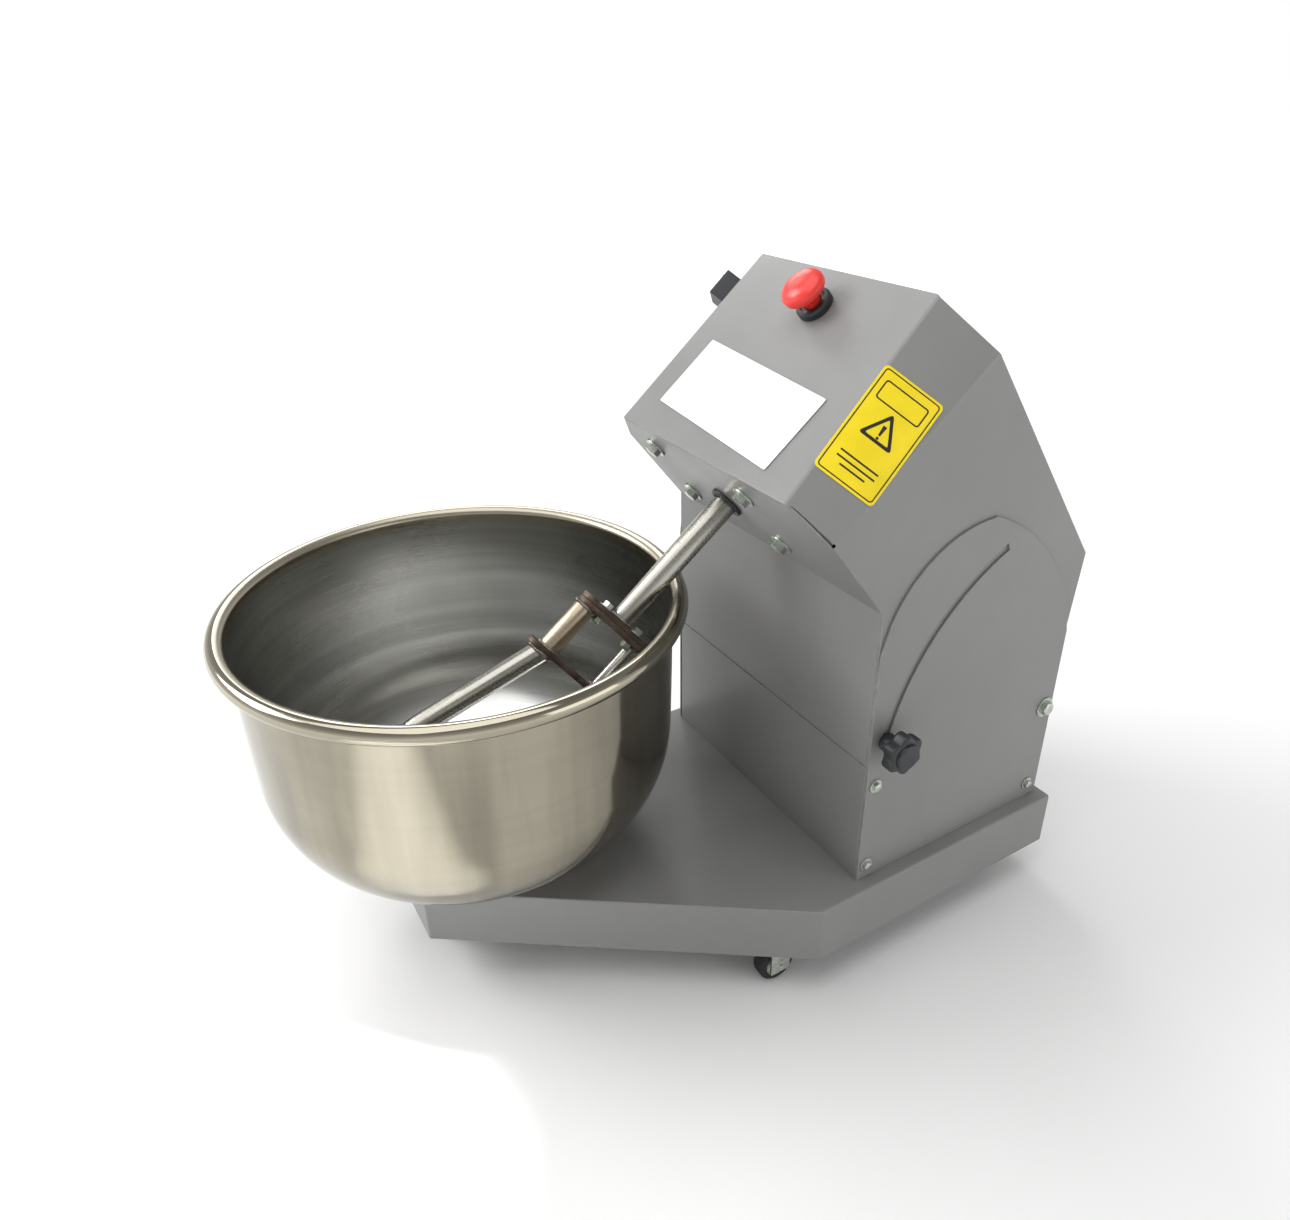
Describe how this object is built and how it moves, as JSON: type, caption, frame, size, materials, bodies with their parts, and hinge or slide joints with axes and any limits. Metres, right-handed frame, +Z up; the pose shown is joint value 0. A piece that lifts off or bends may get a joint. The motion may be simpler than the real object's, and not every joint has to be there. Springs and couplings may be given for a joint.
{
  "type": "spiral dough mixer",
  "caption": "Tilting-head dough mixer: inclined shaft with a cranked bar arm in a free-turning round bowl, sheet housing on a low castored tray.",
  "frame": {"origin": "middle of the underside of the whole mixer's bounding box, on the floor", "axes": "+Z up, +Y from the bowl towards the rear of the housing, +X towards the lock knob's side"},
  "size_m": [0.5024, 0.7568, 0.6495],
  "materials": {
    "paint": "satin grey enamel",
    "stainless": "fine spun and brushed",
    "steel": "plain machined",
    "dark_steel": "dark mill scale",
    "zinc": "bright zinc plate",
    "bronze": "worn bare metal",
    "black_plastic": "moulded, fine grain",
    "castor_tread": "matt",
    "red_plastic": "moulded, satin",
    "yellow_film": "printed film",
    "white_plastic": "smooth sheet",
    "cast_iron": "painted casting"
  },
  "bodies": {
    "base": {"base_tray": "paint", "castor_rail_rear": "steel", "castor_rail_front": "steel", "castor_fork_front_right": "zinc", "castor_fork_front_left": "zinc", "castor_fork_rear_right": "zinc", "castor_fork_rear_left": "zinc", "side_plate_right": "paint", "side_plate_left": "paint", "lower_front_panel": "paint", "lower_rear_panel": "paint", "side_screw_right_front_low": "zinc", "side_screw_right_front_high": "zinc", "side_screw_right_rear_low": "zinc", "side_screw_left_front_low": "zinc", "side_screw_left_front_high": "zinc", "side_screw_left_rear_low": "zinc", "pivot_bolt_right": "zinc", "pivot_bolt_left": "zinc", "cable_gland": "black_plastic", "control_box": "white_plastic", "bowl_bearing": "steel", "bowl_bearing_housing": "cast_iron"},
    "wheel_front_right": {"castor_wheel_front_right": "castor_tread"},
    "wheel_front_left": {"castor_wheel_front_left": "castor_tread"},
    "wheel_rear_right": {"castor_wheel_rear_right": "castor_tread"},
    "wheel_rear_left": {"castor_wheel_rear_left": "castor_tread"},
    "head": {"head_cover": "paint", "nose_panel": "paint", "estop_collar": "black_plastic", "name_plate": "white_plastic", "safety_label": "yellow_film", "switch_housing": "black_plastic", "tilt_frame": "steel", "gearbox_housing": "cast_iron", "gearbox_lid": "cast_iron", "output_bearing": "steel", "shaft_seal": "black_plastic", "nose_bolt_lower_left": "zinc", "nose_bolt_upper_left": "zinc", "nose_bolt_lower_right": "zinc", "nose_bolt_upper_right": "zinc", "motor_body": "cast_iron", "motor_fan_cover": "black_plastic"},
    "estop": {"estop_button": "red_plastic"},
    "switch": {"switch_rocker": "black_plastic"},
    "knob": {"lock_knob": "black_plastic"},
    "rotor": {"motor_rotor": "steel"},
    "agitator": {"mixer_shaft": "stainless", "worm_wheel": "bronze", "crank_plate_upper": "dark_steel", "crank_plate_lower": "dark_steel", "crank_bolt_1": "zinc", "crank_bolt_2": "zinc", "spacer_rod": "bronze", "short_rod": "stainless", "rod_plate": "dark_steel", "mixing_arm": "stainless"},
    "bowl": {"mixing_bowl": "stainless", "bowl_spindle": "steel"}
  },
  "joints": [
    {"name": "head_tilt", "type": "hinge", "parent": "base", "child": "head", "pos_m": [0.05915, 0.3429, 0.221], "axis": [-1, 0, 0], "range_deg": [0, 45]},
    {"name": "agitator_spin", "type": "hinge", "parent": "head", "child": "agitator", "pos_m": [0.04415, 0.0659, 0.4463], "axis": [0, -0.7838, -0.621], "continuous": true},
    {"name": "motor_spin", "type": "hinge", "parent": "head", "child": "rotor", "pos_m": [0.08215, 0.14359, 0.42875], "axis": [0, 0.621, -0.7838], "continuous": true},
    {"name": "bowl_spin", "type": "hinge", "parent": "base", "child": "bowl", "pos_m": [-0.04185, -0.1691, 0.126], "axis": [0, 0, 1], "continuous": true},
    {"name": "lock_knob_turn", "type": "hinge", "parent": "head", "child": "knob", "pos_m": [0.21955, 0.12058, 0.26684], "axis": [1, 0, 0], "range_deg": [0, 360]},
    {"name": "estop_press", "type": "slide", "parent": "head", "child": "estop", "axis": [0, 0.6798, -0.7334], "range_m": [0, 0.004], "stiffness_N_per_m": 3000, "springref_m": -0.002},
    {"name": "switch_toggle", "type": "hinge", "parent": "head", "child": "switch", "pos_m": [-0.08743, 0.14716, 0.60644], "axis": [-0.6339, 0.5489, -0.5449], "range_deg": [0, 12]},
    {"name": "wheel_roll_front_right", "type": "hinge", "parent": "base", "child": "wheel_front_right", "pos_m": [0.19115, 0.0314, 0.02], "axis": [1, 0, 0], "continuous": true},
    {"name": "wheel_roll_front_left", "type": "hinge", "parent": "base", "child": "wheel_front_left", "pos_m": [-0.04085, -0.2206, 0.02], "axis": [1, 0, 0], "continuous": true},
    {"name": "wheel_roll_rear_right", "type": "hinge", "parent": "base", "child": "wheel_rear_right", "pos_m": [0.17915, 0.3294, 0.02], "axis": [1, 0, 0], "continuous": true},
    {"name": "wheel_roll_rear_left", "type": "hinge", "parent": "base", "child": "wheel_rear_left", "pos_m": [-0.06085, 0.3294, 0.02], "axis": [1, 0, 0], "continuous": true}
  ],
  "couplings": [
    {"joint": "motor_spin", "follows": "agitator_spin", "ratio": 24}
  ]
}
